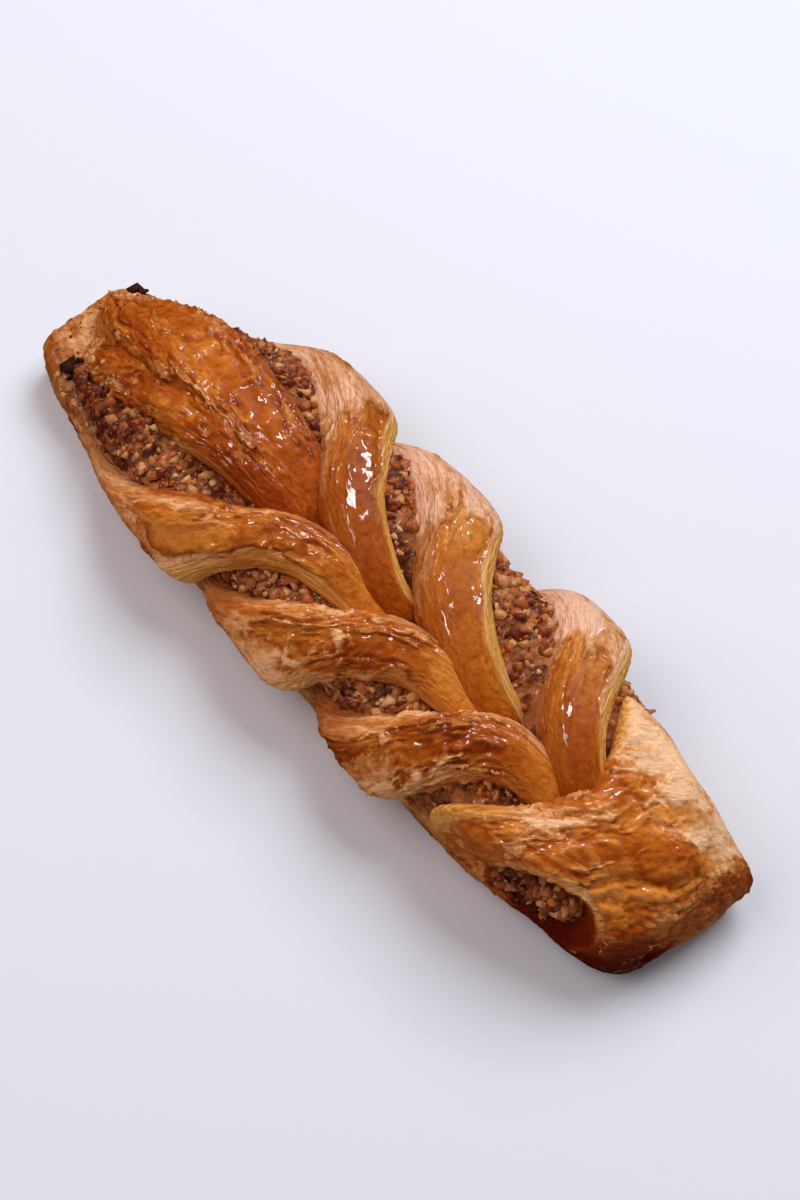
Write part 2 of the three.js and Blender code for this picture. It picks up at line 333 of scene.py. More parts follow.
# Crust: skin over glaze, both browned by the bake, with pale fibres at the cut edges
crustShade = {
    "streak": ((0.12, 1.7, 1.7), 4), "mottle": ((0.2, 0.34, 0.34), 6, 0.65), "speck": ((1.6, 2.4, 2.4), 3),
    "crack": ((0.2, 0.8, 0.8), 5, 0.6), "grit": ((0.7, 1.0, 1.0), 4, 0.6), "crease": ((0.22, 0.8, 0.8), 2),
    "ragged": 0.6, "tornFrom": (-0.4, 0.35), "lipAt": 0.07, "lipWidth": 0.07, "lipShare": 0.6,
    "lipMottle": (0.45, 0.65), "crevice": 0.3, "creviceUntil": 0.3,
    "mottleBake": 0.95, "streakBake": 0.14, "gritBake": 0.6, "leastGlaze": 0.18,
    "fibreStreak": (0.3, 0.75), "fibreDark": 0.45, "fibreBake": 0.7, "fibreSwing": 1.6,
    "fibreFrom": (0.0, 0.9),
    "crackWidth": 0.02, "crackShare": 0.6, "crackGrit": (0.48, 0.6), "crackColour": "6c2a0a",
    "roughness": (0.42, 0.32), "speckFrom": (0.3, 0.7), "speckRough": (-0.06, 0.1),
    "gloss": (0.25, 0.9), "matteFrom": (0.35, 0.75), "matteGloss": 0.25, "edgeGloss": 0.2,
    "creaseHigh": 0.8, "creaseWidth": 0.16, "creaseUntil": (0.1, 0.8), "blisterSize": 0.75,
    "blisterHigh": (-0.2, -1.6), "gritHigh": (0.5, 1.8), "streakHigh": 0.2, "speckHigh": 0.6,
}
crustFinish = {"coatIor": 1.48, "specular": 0.08, "bumpHigh": 0.25}


def crustGroup():
    c = crustShade
    values = [(label, "Float") for label in ("Bake", "Tear", "Edge")]
    colours = [(label, "Color") for label in ("Skin", "Glaze", "Pale", "Browning")]
    results = [("Color", "Color"), ("Roughness", "Float"), ("Coat", "Float"), ("Height", "Float")]
    tree, given, out = newGroup("bakedCrust", [("Strand", "Vector")] + values + colours, results)
    strand, bake, tear, edge = (given.outputs[label] for label in ("Strand", "Bake", "Tear", "Edge"))
    skin, glaze, pale, tint = (given.outputs[label] for label in ("Skin", "Glaze", "Pale", "Browning"))
    noises = ("streak", "mottle", "speck", "crack", "grit", "crease")
    streak, mottle, speck, crack, grit, crease = (noiseNode(tree, strand, *c[label]) for label in noises)

    def add(*parts):
        total = parts[0]
        for part in parts[1:]:
            total = mathNode(tree, "ADD", total, part)
        return total

    def times(a, b):
        return mathNode(tree, "MULTIPLY", a, b)

    def spread(value, within, wanted):
        return rangeNode(tree, value, within, wanted)

    def off(noiseValue):  # how far a noise is from its middle
        return mathNode(tree, "ABSOLUTE", centredNode(tree, noiseValue, 1))

    # ragged edge of the torn skin: a pale lip that is a painted highlight, then a dark crevice, partly burnt
    # and partly painted shade, that fades into the glaze
    field = add(tear, centredNode(tree, grit, c["ragged"]))
    torn = spread(field, c["tornFrom"], (0, 1))
    offLip = mathNode(tree, "ABSOLUTE", mathNode(tree, "ADD", field, c["lipAt"]))
    lip = times(spread(offLip, (0, c["lipWidth"]), (c["lipShare"], 0)),
                spread(mottle, c["lipMottle"], (0, 1)))
    # the crevice darkening is partly burnt crust and partly painted shade at the foot of the lip
    crevice = times(torn, spread(field, (0, c["creviceUntil"]), (c["crevice"], 0)))
    shade = add(bake, centredNode(tree, mottle, c["mottleBake"]), centredNode(tree, streak, c["streakBake"]),
                centredNode(tree, grit, c["gritBake"]), crevice)
    share = mathNode(tree, "MAXIMUM", shade, 0)
    colour = mixNode(tree, torn, browned(tree, skin, tint, share),
                     browned(tree, glaze, tint, mathNode(tree, "MAXIMUM", share, c["leastGlaze"])))
    # painted highlight: the lip takes the pale colour
    colour = mixNode(tree, lip, colour, pale)
    line = times(spread(off(crack), (0, c["crackWidth"]), (c["crackShare"], 0)),
                 spread(grit, c["crackGrit"], (0, 1)))
    colour = mixNode(tree, line, colour, tone(c["crackColour"]))
    fibreShade = add(spread(streak, c["fibreStreak"], (0, c["fibreDark"])),
                     spread(bake, (0, 1), (0, c["fibreBake"])))
    fibre = spread(add(edge, centredNode(tree, streak, c["fibreSwing"])), c["fibreFrom"], (0, 1))
    colour = mixNode(tree, fibre, colour, browned(tree, pale, tint, fibreShade))
    tree.links.new(colour, out.inputs["Color"])
    tree.links.new(add(spread(torn, (0, 1), c["roughness"]), spread(speck, c["speckFrom"], c["speckRough"])),
                   out.inputs["Roughness"])
    gloss = times(spread(torn, (0, 1), c["gloss"]), spread(tear, c["matteFrom"], (1, c["matteGloss"])))
    tree.links.new(times(gloss, spread(edge, (0, 1), (1, c["edgeGloss"]))), out.inputs["Coat"])
    # relief too fine for the mesh: lips, creases in the skin, blisters and grit in the glaze
    ridge = times(spread(off(crease), (0, c["creaseWidth"]), (c["creaseHigh"], 0)),
                  spread(torn, c["creaseUntil"], (1, 0)))
    blister = addNode(tree, "ShaderNodeTexVoronoi", feature="SMOOTH_F1")
    blister.inputs["Scale"].default_value = c["blisterSize"]
    tree.links.new(strand, blister.inputs["Vector"])
    bead = times(blister.outputs["Distance"], spread(torn, (0, 1), c["blisterHigh"]))
    bubbly = times(grit, spread(torn, (0, 1), c["gritHigh"]))
    grain = add(times(streak, c["streakHigh"]), bead, times(speck, c["speckHigh"]))
    height = add(mathNode(tree, "SUBTRACT", lip, torn), ridge, bubbly, grain)
    tree.links.new(height, out.inputs["Height"])
    return tree


bakedCrust = crustGroup()


def crustMaterial(name, colours, bump, coatRoughness):
    material, tree, shader, relief = newMaterial(name)
    group = addNode(tree, "ShaderNodeGroup", node_tree=bakedCrust)
    for label in ("strand", "bake", "tear", "edge"):
        source = addNode(tree, "ShaderNodeAttribute", attribute_name=label)
        tree.links.new(source.outputs["Vector" if label == "strand" else "Fac"], group.inputs[label.title()])
    for label, code in colours.items():
        group.inputs[label].default_value = tone(code)
    shader.inputs["Coat Roughness"].default_value = coatRoughness
    shader.inputs["Coat IOR"].default_value = crustFinish["coatIor"]
    shader.inputs["Specular IOR Level"].default_value = crustFinish["specular"]
    relief.inputs["Strength"].default_value = bump
    relief.inputs["Distance"].default_value = crustFinish["bumpHigh"] * mm
    tree.links.new(group.outputs["Height"], relief.inputs["Height"])
    for label, socket in (("Color", "Base Color"), ("Roughness", "Roughness"), ("Coat", "Coat Weight")):
        tree.links.new(group.outputs[label], shader.inputs[socket])
    return material


# crust of the right strips: its paler, pinker skin colour is partly painted sheen from the light at the right
paleCrust = crustMaterial("paleCrust", bump=0.9, coatRoughness=0.08, colours={
    "Skin": "f1bd9f", "Glaze": "e8a048", "Pale": "f4c06c", "Browning": "9b5e28"})
foldCrust = crustMaterial("foldCrust", bump=0.6, coatRoughness=0.08, colours={
    "Skin": "f6c498", "Glaze": "f0a04a", "Pale": "f8c878", "Browning": "9b5c28"})
glazedCrust = crustMaterial("glazedCrust", bump=0.9, coatRoughness=0.08, colours={
    "Skin": "f0b27e", "Glaze": "ea9c44", "Pale": "f4bc66", "Browning": "9b5a27"})
dryCrust = crustMaterial("dryCrust", bump=0.8, coatRoughness=0.3, colours={
    "Skin": "e6ac78", "Glaze": "de9846", "Pale": "e4a858", "Browning": "9b602f"})
print("crust materials made")


# Strips of dough, laid over the filling from both sides
strips = {
    "columns": 150, "rings": 210, "rimY": 24.5, "crestZ": 23, "loafZ": 6,
    "root": (-0.36, 0.78, 4.5), "rim": (-0.08, 1, 10), "brow": (0.2, 0.76, 18.8), "crestShare": 0.5,
    "dive": (0.82, 21), "tuck": (1.06, 13), "tangentStep": 1e-4,
    "halfThick": 6.5, "plump": 0.72, "rootShare": 0.5, "uprightShare": 0.1, "tipTaper": 0.6, "taperFrom": 0.5,
    "roundShare": 0.125, "endDense": 0.6, "lobe": 0.3, "lobeAt": 0.27, "lobeShare": 0.14,
}
leftSide = {
    "sign": -1, "crest": 0.36, "tipY": -5.5, "drop": 2, "crust": glazedCrust,
    "skinUntil": (0.26, 0.38), "goldFrom": (0.62, 0.8), "bandFrom": (0.15, 0.8), "bandPale": 0,
    "flaky": 1.3, "wrinkly": 1.0, "wrinkleAt": 0.44, "wrinkleShare": 0.17, "filmy": 1.1, "creamLobe": 0.35,
    "skinBake": 0.36, "glazeBake": 0.42, "goldBake": 0.08,
    "skinBias": -0.25, "glazeBias": 0.2, "goldBias": 0.45,
}
rightSide = {
    "sign": 1, "crest": 0.21, "tipY": -1.5, "drop": 0, "crust": paleCrust,
    "skinUntil": (0.34, 0.53), "goldFrom": (0.54, 0.68), "bandFrom": (0.28, 0.68), "bandPale": 0.6,
    "flaky": 0.9, "wrinkly": 0.9, "wrinkleAt": 0.43, "wrinkleShare": 0.07, "filmy": 0.25, "creamLobe": 0,
    # a lighter skin bake than on the left: partly painted sheen on the side facing the light
    "skinBake": 0.0, "glazeBake": 0.28, "goldBake": 0.48,
    "skinBias": -0.5, "glazeBias": 0.2, "goldBias": 0.45,
}
stripColumns = ("name", "side", "rim", "tip", "half", "spread", "band", "bake", "seed")
stripRows = [
    ("strip_left_1", leftSide, -39, 14, 6.4, 1.9, 0.8, -0.12, 1),
    ("strip_right_1", rightSide, -39, 12, 7, 1.8, 0.9, 0.12, 2),
    ("strip_left_2", leftSide, -5, 43, 6.5, 1.5, 0.45, -0.04, 3),
    ("strip_right_2", rightSide, -5.5, 41.5, 7.8, 1.6, 0.9, 0.05, 4),
    ("strip_left_3", leftSide, 28, 65, 6.6, 0.9, 0.35, -0.02, 5),
    ("strip_right_3", rightSide, 36, 69, 7, 1, 0.8, 0, 6),
]
sideLook = {
    "strandRadius": 8, "bandRoot": (0.14, 0.3), "bandTop": (-0.7, -0.2),
    "wobble": 0.3, "wobbleLength": 9, "wobbleStep": 3.7, "wobbleGlaze": 0.3,
    "topTear": 0.1, "backSkin": 0.35, "backFrom": (0.6, 0.95), "footBake": 0.3, "footUntil": (1, 9),
    "creamAt": 0.3, "creamShare": 0.12, "creamFlank": (0, 0.7),
}
firstStrips = [
    {"name": "first_left", "from": (-86, -6.2, 6), "over": (-64, -6.2, 17), "tip": (-10, -3.5, 13),
     "half": 6.2, "down": -1, "curl": 1.0, "seed": 7},
    {"name": "first_right", "from": (-90, 4, 6), "over": (-64, 4.5, 20), "tip": (-8, 0, 13),
     "half": 10.4, "down": 1, "curl": 0.3, "seed": 8},
]
firstLook = {
    "rise": 0.65, "crestZ": 22, "strandRadius": (9, 8), "goldFrom": (0.72, 0.9),
    "band": 0.5, "bandFrom": (0.65, 0.9), "bandAlong": (0.3, 0.5), "bias": 0.35, "goldBias": 0.3,
    "flaky": 1.3, "goldCalm": 0.8, "wrinkly": 0.8, "filmy": 0.5, "bake": 0.5, "goldBake": 0.2,
    "curlPitch": 1.25, "curlHigh": 0.45, "curlUntil": (0.1, 0.2), "curlPale": 0.35,
}


def sideLine(strip):
    side = strip["side"]

    def at(share, y, z):
        return Vector((lerp(strip["rim"], strip["tip"], share), y, z))

    flank = [at(share, side["sign"] * strips["rimY"] * out, z)
             for share, out, z in (strips["root"], strips["rim"], strips["brow"])]
    crest = at(strips["crestShare"], side["sign"] * strips["rimY"] * side["crest"], strips["crestZ"])
    ends = [at(share, side["tipY"], z - side["drop"]) for share, z in (strips["dive"], strips["tuck"])]
    return flank + [crest] + ends


def firstLine(strip):
    begin, over, tip = (Vector(strip[key]) for key in ("from", "over", "tip"))
    rise = begin.lerp(over, 0.5)
    rise.z = lerp(begin.z, over.z, firstLook["rise"])
    crest = over.lerp(tip, 0.5)
    crest.z = firstLook["crestZ"]
    return [begin, rise, over, crest, tip]


def stripStations(points, half, spread):  # where each ring's middle is, how it lies and how wide it is
    s = strips
    step = s["tangentStep"]
    made = []
    reach = 0.0
    for k in range(s["rings"] + 1):
        share = k / s["rings"]
        t = lerp(share, 0.5 - 0.5 * math.cos(math.pi * share), s["endDense"])
        middle = smoothLine(points, t)
        ahead = (smoothLine(points, min(1, t + step)) - smoothLine(points, max(0, t - step))).normalized()
        out = Vector((0, middle.y / s["rimY"]**2, (middle.z - s["loafZ"]) / s["crestZ"]**2))
        lying = ramp(t, s["uprightShare"], s["rootShare"]) if spread else 1
        across = out.cross(Vector((0, 0, 1)).lerp(ahead, lying)).normalized()
        rounded = quarterRound(min(t, 1 - t) / s["roundShare"])
        wide = half * (1 + spread * (1 - ramp(t, 0, s["rootShare"])))
        wide *= lerp(1, s["tipTaper"], ramp(t, s["taperFrom"], 1))
        lobe = s["lobe"] * hump(t - s["lobeAt"], s["lobeShare"]) if spread else 0
        reach += (middle - made[-1]["middle"]).length if made else 0
        made.append({"t": t, "middle": middle, "across": across, "up": ahead.cross(across), "round": rounded,
                     "wide": wide, "thick": s["halfThick"] * (1 + lobe), "reach": reach})
    return made


def dressSide(strip, here, angle, point):
    s, side = sideLook, strip["side"]
    t = here["t"]
    flank = math.cos(angle) * side["sign"]  # 1 at the cut edge that faces the folded end
    top = math.sin(angle)
    wobbleAt = Vector((here["reach"] / s["wobbleLength"], strip["seed"] * s["wobbleStep"], 0))
    wobble = s["wobble"] * noise.noise(wobbleAt)
    gold = ramp(t, *side["goldFrom"])
    edge = ramp(flank + wobble, *side["bandFrom"]) * ramp(top, *s["bandTop"]) * ramp(t, *s["bandRoot"])
    edge *= strip["band"]
    glazed = ramp(t + s["wobbleGlaze"] * wobble, *side["skinUntil"])
    bias = lerp(side["skinBias"], side["glazeBias"], glazed)
    bias += side["goldBias"] * gold + s["topTear"] * top - s["backSkin"] * ramp(-flank, *s["backFrom"])
    crumpled = hump(t - side["wrinkleAt"], side["wrinkleShare"])
    strandPoint = Vector((here["reach"], s["strandRadius"] * math.cos(angle), s["strandRadius"] * top))
    look = bakedSurface(strandPoint, strip["seed"], bias, edge, side["flaky"] * (1 - gold),
                        side["wrinkly"] * crumpled, side["filmy"] * crumpled)
    bake = lerp(side["skinBake"], side["glazeBake"], glazed)
    look["bake"] += strip["bake"] + lerp(bake, side["goldBake"], gold)
    # darker towards the table
    look["bake"] += s["footBake"] * (1 - ramp(point.z, *s["footUntil"])) - side["bandPale"] * edge
    cream = hump(t - s["creamAt"], s["creamShare"]) * ramp(flank, *s["creamFlank"])
    look["bake"] -= side["creamLobe"] * cream
    look["height"] *= here["round"]
    return look


def dressFirst(strip, here, angle, point):
    f = firstLook
    t = here["t"]
    gold = ramp(t, *f["goldFrom"])
    curl = strip["curl"] * (1 - ramp(t, *f["curlUntil"]))
    edge = f["band"] * ramp(math.cos(angle) * strip["down"], *f["bandFrom"]) * ramp(t, *f["bandAlong"])
    across, up = f["strandRadius"]
    strandPoint = Vector((here["reach"], across * math.cos(angle), up * math.sin(angle)))
    look = bakedSurface(strandPoint, strip["seed"], f["bias"] + f["goldBias"] * gold - curl, edge,
                        f["flaky"] * (1 - f["goldCalm"] * gold), f["wrinkly"] * (1 - gold), f["filmy"])
    layer = math.sin(fullTurn * here["reach"] / f["curlPitch"])
    look["height"] = (look["height"] + curl * f["curlHigh"] * layer) * here["round"]
    look["bake"] += f["bake"] + f["goldBake"] * gold - f["curlPale"] * curl * (1 + layer)
    return look


def makeStrip(strip, points, spread, dressPoint, material):
    stations = stripStations(points, strip["half"], spread)
    columns = strips["columns"]

    def place(ring, column):
        here = stations[ring]
        angle = fullTurn * column / columns
        sideways = here["wide"] * here["round"] * bulge(math.cos(angle), strips["plump"])
        upwards = here["thick"] * here["round"] * bulge(math.sin(angle), strips["plump"])
        return here["middle"] + here["across"] * sideways + here["up"] * upwards

    def dress(ring, column, point):
        return dressPoint(strip, stations[ring], fullTurn * column / columns, point)

    return mouldDough(strip["name"], columns, strips["rings"], place, dress, material)


doughPieces = []
for row in stripRows:
    strip = dict(zip(stripColumns, row))
    doughPieces.append(makeStrip(strip, sideLine(strip), strip["spread"], dressSide, strip["side"]["crust"]))
for strip in firstStrips:
    doughPieces.append(makeStrip(strip, firstLine(strip), 0, dressFirst, glazedCrust))


# Roll of filling, and the taper that the sheet shares with it
filling = {
    "start": -88, "end": 86, "width": 45, "lowZ": 3.5, "highZ": 24.5, "square": 0.65, "roundShare": 0.055,
    "groove": 5, "grooveY": -3, "grooveHalf": 9, "columns": 220, "rings": 400, "inset": 1.0,
    "lump": 1.6, "lumpSize": 2.6, "lumpMean": 0.35, "bit": 0.6, "bitSize": 1.2,
    "grain": 0.35, "grainSize": 0.9, "grainRough": 0.7, "grainFiner": 2, "grainOctaves": 3,
    "tint": 0.5, "lumpTint": 0.45, "lumpTintStep": 7.3, "gapTint": 0.6, "gapFrom": (0.5, 0.9),
    "farTint": 0.5, "farFrom": (45, 75),
}
farTaper = {"size": 0.62, "share": 0.22, "y": -3}
nearTaper = {"size": 0.74, "share": 0.2, "y": -2.5}


def taper(t):
    far = ramp(t, 0, farTaper["share"])
    near = ramp(1 - t, 0, nearTaper["share"])
    return far, near, lerp(farTaper["y"], 0, far) + lerp(nearTaper["y"], 0, near)


def fillingPoint(t, angle, less):
    f = filling
    far, near, shift = taper(t)
    size = lerp(farTaper["size"], 1, far) * lerp(nearTaper["size"], 1, near)
    tall = (f["highZ"] - f["lowZ"]) / 2
    rounded = quarterRound(min(t, 1 - t) / f["roundShare"])
    y = (f["width"] / 2 * size - less) * rounded * bulge(math.cos(angle), f["square"])
    groove = f["groove"] * size * hump(y - f["grooveY"], f["grooveHalf"]) if math.sin(angle) > 0 else 0
    z = (tall * size - less - groove) * rounded * bulge(math.sin(angle), f["square"])
    return Vector((lerp(f["start"] + less, f["end"] - less, t), y + shift, f["lowZ"] + tall * size + z))


# Sheet of dough under the filling, pressed thin and crumbly at the far end
sheet = {
    "end": 86, "width": 48, "widthFar": 29, "widthNear": 28, "high": 6, "highFar": 13,
    "square": 0.5, "sink": 0.6, "columns": 110, "rings": 320, "sectionHalf": (12, 4), "endShare": 0.09,
    "blunt": 1 / 28,  # share of the rings at each end that make the blunt face
    "seed": 11, "strandHigh": 1.6, "bias": -0.25, "farBias": 0.1, "flaky": 0.6, "wrinkly": 0.5, "relief": 0.6,
    "crumb": 0.45, "crumbSize": 1.6, "crumbRough": 0.8, "crumbFiner": 2, "crumbOctaves": 3, "crumbBake": 0.35,
    "foot": (0.2, 2), "nearFrom": (0.7, 0.85), "nearBake": 0.5, "bake": 0.3,
    "patch": 0.5, "patchSize": 5, "patchFar": 0.2, "patchFrom": (0.0, 0.4),
}


def sectionAngles(columns, half, powers):  # angles of points evenly round a squarish section
    def section(share):
        angle = fullTurn * share
        return (half[0] * bulge(math.cos(angle), powers[0]), half[1] * bulge(math.sin(angle), powers[1]), 0)

    return [fullTurn * share for share in evenShares(columns, section)]


def makeSheet():
    s = sheet
    angles = sectionAngles(s["columns"], s["sectionHalf"], (s["square"], s["square"]))

    def shares(ring):
        t = ring / s["rings"]
        return t, clamp((t - s["blunt"]) / (1 - 2 * s["blunt"]))

    def place(ring, column):
        t, along = shares(ring)
        far, near, shift = taper(along)
        width = min(lerp(s["widthFar"], s["width"], far), lerp(s["widthNear"], s["width"], near))
        rounded = quarterRound(min(t, 1 - t) / s["endShare"])
        high = lerp(s["highFar"], s["high"], far) / 2
        y = width / 2 * rounded * bulge(math.cos(angles[column]), s["square"])
        z = (high + s["sink"]) * rounded * bulge(math.sin(angles[column]), s["square"])
        return Vector((lerp(startX, s["end"], along), y + shift, high + z))

    def dress(ring, column, point):
        along = shares(ring)[1]
        far = 1 - ramp(along, 0, farTaper["share"])
        near = ramp(along, *s["nearFrom"])
        strandPoint = Vector((point.x, point.y, point.z * s["strandHigh"]))
        bias = s["bias"] + s["farBias"] * far
        look = bakedSurface(strandPoint, s["seed"], bias, 0.0, s["flaky"], s["wrinkly"])
        crumb = noise.fractal(point / s["crumbSize"], s["crumbRough"], s["crumbFiner"], s["crumbOctaves"])
        look["height"] = (s["relief"] * look["height"] + s["crumb"] * crumb * far) * ramp(point.z, *s["foot"])
        patch = ramp(noise.noise(point / s["patchSize"]) - s["patchFar"] * far, *s["patchFrom"])
        look["edge"] = s["patch"] * patch * (1 - near)
        look["bake"] += s["bake"] + s["crumbBake"] * crumb + s["nearBake"] * near
        return look

    return mouldDough("dough_sheet", s["columns"], s["rings"], place, dress, dryCrust)


doughPieces.append(makeSheet())

# Folded end: a pillow whose front lip dips over the last tips, with an open left side
fold = {
    "front": 62, "left": {"lip": 22, "front": 28, "end": 19.5, "back": 3.5},
    "right": {"lip": 14, "front": 21, "end": 15.5, "back": 0},
    "high": 28, "highEnd": 15, "drop": 3, "square": 0.3, "plump": 0.6,
    "wave": 0.7, "waveAlong": 9, "waveAcross": 4, "columns": 260, "rings": 220,
    "sectionHalf": (24, 14), "profileHalf": (16, 24),
    "pocket": (75, -27, 16), "pocketHalf": (14.5, 12, 11), "pocketTilt": 0.25, "pocketCalm": 0.6,
    "bubble": (83, -0.5), "bubbleAlong": (0.68, 0.73), "bubbleHalf": (10, 5), "bubbleHigh": 1.4,
    "bubbleRound": 0.7, "topFrom": (0.2, 0.6), "crease": 0.8, "creaseWidth": 0.9, "creaseAt": 5,
    "cornerTip": (94.5, 14.5, 8), "cornerSize": 3.6, "cornerHigh": 1.6,
    "leftCorner": (89, -17, 9), "leftCornerSize": 8,
    "wrinkle": 1.1, "wrinkleSize": 13, "wrinkleShift": (3.1, 7.7, 1.9), "foot": (0, 3),
    "endFrom": (0.86, 0.97), "sideFrom": (0.8, 0.97), "leftFrom": (0, 0.2), "farLeftFrom": (0.2, 0.9),
    "leftLip": (0.24, 0.12), "leftLipFrom": (0.4, 0.85), "rightLip": (0.13, 0.08), "rightLipFrom": (0.1, 0.5),
    "wall": 1.03, "wallSoft": 0.06, "arch": 1.07, "archWidth": 0.06, "archRise": 3, "archEdge": 0.2,
    "flapTop": 12, "flapSoft": 4, "flapY": (4, 9), "flapX": (64, 72), "paleFrom": (0.0, 0.65),
    "seed": 13, "flaky": 0.8, "wrinkly": 1.1, "filmy": 0.35, "bias": 0.27, "bake": 0.3,
}
foldShares = {  # how much each part of the fold adds to its calm, its glaze and its bake, which also holds painted shade in and under the pocket and painted sheen on the right
    "calm": {"end": 0.4, "side": 0.5, "lip": 1, "arch": 1, "flap": 0.3, "bubble": 0.4,
             "pale": 0.45, "corner": 1},
    "bias": {"end": -0.7, "leftSide": -0.2, "bubble": 0.25, "flap": 0.3, "arch": -1,
             "corner": 0.3, "pale": -0.5},
    # the pocket's share is painted shade in the hollow; the flap's is partly a deeper bake and partly painted
    # shade under the pocket
    "bake": {"end": 0.45, "flap": 0.95, "pocket": 1.2, "tip": 0.9, "crease": 0.25, "bubble": 0.35,
             "left": 0.15, "pale": -0.5, "corner": 0.95},
}


def makeFold():
    f = fold

    def profile(share):
        turn = math.pi * share
        half, wide = f["profileHalf"]
        return (half * bulge(-math.cos(turn), f["square"]), wide * math.sin(turn) ** f["square"], 0)

    angles = sectionAngles(f["columns"], f["sectionHalf"], (f["square"], f["plump"]))
    turns = [math.pi * share for share in evenShares(f["rings"], profile)]

    def shares(ring, column):
        size = max(0.0, math.sin(turns[ring]))
        if ring in (0, f["rings"]):
            size = 0.0
        wide = bulge(size * math.cos(angles[column]), f["square"])
        tall = bulge(size * math.sin(angles[column]), f["plump"])
        along = bulge(-math.cos(turns[ring]), f["square"]) / 2 + 0.5
        return size, wide, tall, along

    def inHollow(point):  # the point's place in the pocket, whose wall is at a length of 1
        away = point - Vector(f["pocket"])
        away.z -= f["pocketTilt"] * away.x
        return Vector([part / half for part, half in zip(away, f["pocketHalf"])])

    def near(point, middle, size):
        return hump((point - Vector(f[middle])).length, f[size])

    def place(ring, column):
        size, wide, tall, along = shares(ring, column)
        side = f["left"] if wide < 0 else f["right"]
        front = f["front"] - side["lip"] * wide**2
        wave = f["wave"] * size * math.sin(f["waveAlong"] * along + f["waveAcross"] * wide)
        high = lerp(f["high"], f["highEnd"], along ** f["drop"]) + wave
        x = lerp(front, endX - side["back"] * abs(wide), along)
        point = Vector((x, wide * lerp(side["front"], side["end"], along), (tall / 2 + 0.5) * high))
        hollow = inHollow(point)
        if hollow.length < 1:
            point.y = f["pocket"][1] + f["pocketHalf"][1] * math.sqrt(1 - hollow.x**2 - hollow.z**2)
        return point

    def partsAt(point, wide, tall, along):  # how much of each part of the fold is at the point
        alongX, alongY = f["bubbleAlong"]
        away = Vector((point.x - f["bubble"][0], point.y - f["bubble"][1]))
        u = away.dot(Vector(f["bubbleAlong"]))
        v = away.x * alongY - away.y * alongX
        halfU, halfV = f["bubbleHalf"]
        onTop = ramp(tall, *f["topFrom"])
        off = inHollow(point).length
        parts = {"end": ramp(along, *f["endFrom"]), "side": ramp(abs(wide), *f["sideFrom"])}
        parts["leftSide"] = parts["side"] * ramp(-wide, *f["leftFrom"])
        parts["left"] = ramp(-wide, *f["farLeftFrom"])
        (leftAt, leftSoft), (rightAt, rightSoft) = f["leftLip"], f["rightLip"]
        parts["lip"] = ramp(leftAt - along, 0, leftSoft) * ramp(-wide, *f["leftLipFrom"])
        parts["lip"] += ramp(rightAt - along, 0, rightSoft) * ramp(wide, *f["rightLipFrom"])
        parts["pocket"] = ramp(f["wall"] - off, 0, f["wallSoft"])
        parts["arch"] = hump(off - f["arch"], f["archWidth"])
        parts["arch"] *= ramp(point.z - f["pocket"][2], 0, f["archRise"])
        parts["flap"] = ramp(f["flapTop"] - point.z, 0, f["flapSoft"])
        parts["flap"] *= ramp(-point.y, *f["flapY"]) * ramp(point.x, *f["flapX"])
        parts["corner"] = near(point, "leftCorner", "leftCornerSize") * (1 - parts["flap"])
        parts["bubble"] = max(0.0, 1 - (u / halfU)**2 - (v / halfV)**2) ** f["bubbleRound"] * onTop
        parts["crease"] = hump(v - f["creaseAt"], f["creaseWidth"]) * hump(u, halfU) * onTop
        # the right of the fold, made paler: partly its own paler crust and partly painted sheen from the
        # light at the right
        parts["pale"] = ramp(wide, *f["paleFrom"]) * (1 - parts["end"]) * (1 - parts["bubble"])
        parts["tip"] = near(point, "cornerTip", "cornerSize")
        return parts

    def dress(ring, column, point):
        size, wide, tall, along = shares(ring, column)
        parts = partsAt(point, wide, tall, along)
        calm, bias, bake = (sum(share * parts[part] for part, share in foldShares[key].items())
                            for key in ("calm", "bias", "bake"))
        lively = 1 - clamp(calm)
        alongX, alongY = f["bubbleAlong"]
        strandPoint = Vector((alongX * point.x + alongY * point.y,
                              alongY * point.x - alongX * point.y, point.z))
        look = bakedSurface(strandPoint, f["seed"], f["bias"] + bias, clamp(parts["lip"]),
                            f["flaky"] * lively, f["wrinkly"] * lively, f["filmy"] * lively)
        wave = noise.noise(point / f["wrinkleSize"] + Vector(f["wrinkleShift"]))
        raised = f["wrinkle"] * wave + f["bubbleHigh"] * parts["bubble"]
        look["height"] += raised - f["crease"] * parts["crease"]
        look["height"] *= (1 - f["pocketCalm"] * parts["pocket"]) * ramp(point.z, *f["foot"])
        look["height"] += f["cornerHigh"] * parts["tip"]
        look["edge"] = clamp(look["edge"] + f["archEdge"] * parts["arch"])
        look["bake"] += f["bake"] + bake
        return look

    return mouldDough("folded_end", f["columns"], f["rings"], place, dress, foldCrust)


doughPieces.append(makeFold())

# Nut filling: a lumpy paste, with chopped pieces pressed into it where it shows
nutFinish = {
    "grain": ((1000, 1000, 1000), 4, 0.65), "grainTint": 1.6, "grainFrom": (0.3, 0.7), "grainRough": 0.12,
    "specular": 0.25, "coatRoughness": 0.1, "bumpHigh": 0.4,
}


